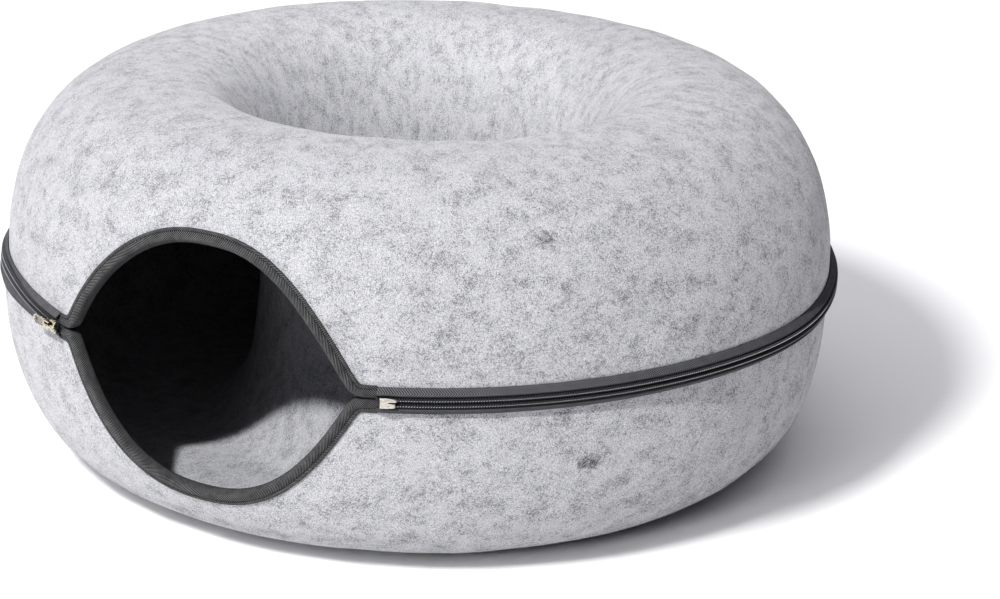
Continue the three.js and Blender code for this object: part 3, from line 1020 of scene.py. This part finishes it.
SLIDER_METAL = metal_material(
    "warm_plated_zinc", (0.16, 0.14, 0.09, 1), (0.74, 0.7, 0.57, 1), 0.12,
)
PANEL_METAL = metal_material(
    "brushed_zinc", (0.22, 0.19, 0.175, 1), (0.36, 0.32, 0.305, 1), 0.35,
)
STOP_METAL = metal_material(
    "pale_plated_zinc", (0.42, 0.39, 0.33, 1), (0.68, 0.65, 0.6, 1), 0.35,
)
print("metal finishes:", [metal.name for metal in (SLIDER_METAL, PANEL_METAL, STOP_METAL)])


# %% Plates
WELD_WITHIN = 0.00001


def zip_frame(angle, radius):
    """Places x along the zip, y up and z outwards at an angle and a radius in mm."""
    a = math.radians(angle)
    along, up, out = (math.cos(a), math.sin(a), 0), (0, 0, 1), (math.sin(a), -math.cos(a), 0)
    axes = Matrix((along, up, out)).transposed()
    return Matrix.Translation(around(angle, radius, zip_height(angle))) @ axes.to_4x4()


def plate(name, outlines, thickness, edge, place, material, node=None):
    """A flat piece from closed outlines in mm (later ones are holes), with rounded edges."""
    drawn = bpy.data.curves.new(name, "CURVE")
    drawn.dimensions = "2D"
    drawn.fill_mode = "BOTH"
    drawn.extrude = thickness / 2 - edge
    drawn.bevel_depth = edge
    drawn.bevel_resolution = 2
    drawn.offset = -edge
    for outline in outlines:
        spline = drawn.splines.new("POLY")
        spline.points.add(len(outline) - 1)
        spline.points.foreach_set("co", [v for x, y in outline for v in (x, y, 0, 1)])
        spline.use_cyclic_u = True
    curve = bpy.data.objects.new(name + "_drawing", drawn)
    mesh = bpy.data.meshes.new_from_object(curve)
    bpy.data.objects.remove(curve)
    lift = Matrix.Translation((0, 0, thickness / 2))
    mesh.transform(place @ Matrix.Scale(MM, 4) @ lift)
    points = np.empty(len(mesh.vertices) * 3)
    mesh.vertices.foreach_get("co", points)
    faces = [tuple(p.vertices) for p in mesh.polygons]
    piece = make_piece(name, points.reshape(-1, 3), faces, sharp=50)
    weld = piece.modifiers.new("weld", "WELD")
    weld.merge_threshold = WELD_WITHIN
    piece.data.materials.append(material)
    if node:
        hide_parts(node)
    return piece


def arc(x, y, radius, first, last, count=10):
    turn = np.radians(np.linspace(first, last, count))
    return [(x + radius * math.cos(t), y + radius * math.sin(t)) for t in turn]


print("a half-round end of 3 mm has", len(arc(0, 0, 3, 270, 90)), "points")

# %% Slider
SLIDER_ANGLE = 306.4
SLIDER_RISE = -0.2
COIL_OUTSIDE = COIL_CENTRE + COIL_RADIUS + 0.3
BRIDGE_FOOT, BRIDGE_TOP, BRIDGE_WIDTH = 1.8, 3.4, 2.4


def on_slider(out):
    """Where a plate of the slider lies, out from the teeth in mm."""
    lifted = Matrix.Translation((0, SLIDER_RISE * MM, 0))
    return zip_frame(SLIDER_ANGLE, COIL_OUTSIDE + out) @ lifted


def mirrored(line):
    """An outline from its upper edge: the same points again below the zip's middle."""
    return line + [(x, -y) for x, y in reversed(line)]


slider_outline = mirrored([
    (-6.0, 2.8), (-1.0, 3.7), (1.6, 4.4), (5.4, 4.6), (6.5, 3.9), (6.5, 2.6), (4.8, 1.5),
    (4.3, 0.4),
])
plate("zip_slider_plate", [slider_outline], 2.0, 0.5, on_slider(0), SLIDER_METAL, "zip_slider")
bridge_outline = [
    (-5.0, 0), (-4.0, 2.6), (-2.6, BRIDGE_TOP), (1.6, BRIDGE_TOP), (3.0, 2.6), (4.0, 0),
    (2.7, 0), (1.8, 2.1), (-2.4, 2.1), (-3.7, 0),
]
stood_up = Matrix.Rotation(math.radians(90), 4, "X")
centred = Matrix.Translation((0, 0, -BRIDGE_WIDTH / 2 * MM))
upright = on_slider(BRIDGE_FOOT) @ stood_up @ centred
plate("zip_slider_bridge", [bridge_outline], BRIDGE_WIDTH, 0.4, upright, SLIDER_METAL)
reach = COIL_OUTSIDE + BRIDGE_FOOT + BRIDGE_TOP - WALL_RADIUS
print("the slider stands", round(reach, 1), "mm off the felt")

# %% Pull and stop
pull_edge = [(0.8, -2.6), (-8.0, -3.3), *arc(-16.4, 0, 3.4, 270, 90, 14), (-8.0, 3.3), (0.8, 2.6)]
panel_edge = [(-7.0, -2.3), *arc(-16.0, 0, 2.4, 270, 90, 12), (-7.0, 2.3)]
pull_eye = [(-5.2, -1.5), (-5.2, 1.5), (-1.8, 1.5), (-1.8, -1.5)]
pull_hole = arc(-15.9, 0, 1.3, 0, 345, 16)
tab_outlines = [pull_edge, pull_eye, pull_hole]
plate("zip_pull_tab", tab_outlines, 0.8, 0.25, on_slider(2.4), PANEL_METAL, "zip_pull")
rim_outlines = [pull_edge, panel_edge, pull_eye]
plate("zip_pull_rim", rim_outlines, 1.3, 0.35, on_slider(2.3), SLIDER_METAL)

STOP_ANGLE = -3.7
stop_outline = [
    (-4.6, -3.0), (0.6, -3.0), (5.0, -2.3), (5.0, 0.4), (0.8, 0.5), (0.8, 1.2), (5.8, 1.3),
    (5.8, 3.2), (0.6, 3.8), (-4.6, 3.8),
]
on_stop = zip_frame(STOP_ANGLE, COIL_OUTSIDE)
plate("zip_stop_clip", [stop_outline], 1.6, 0.3, on_stop, STOP_METAL, "zip_stop")
pull_length = np.ptp([x for x, _ in pull_edge])
print("the pull is", round(float(pull_length), 1), "mm long")

# %% [markdown]
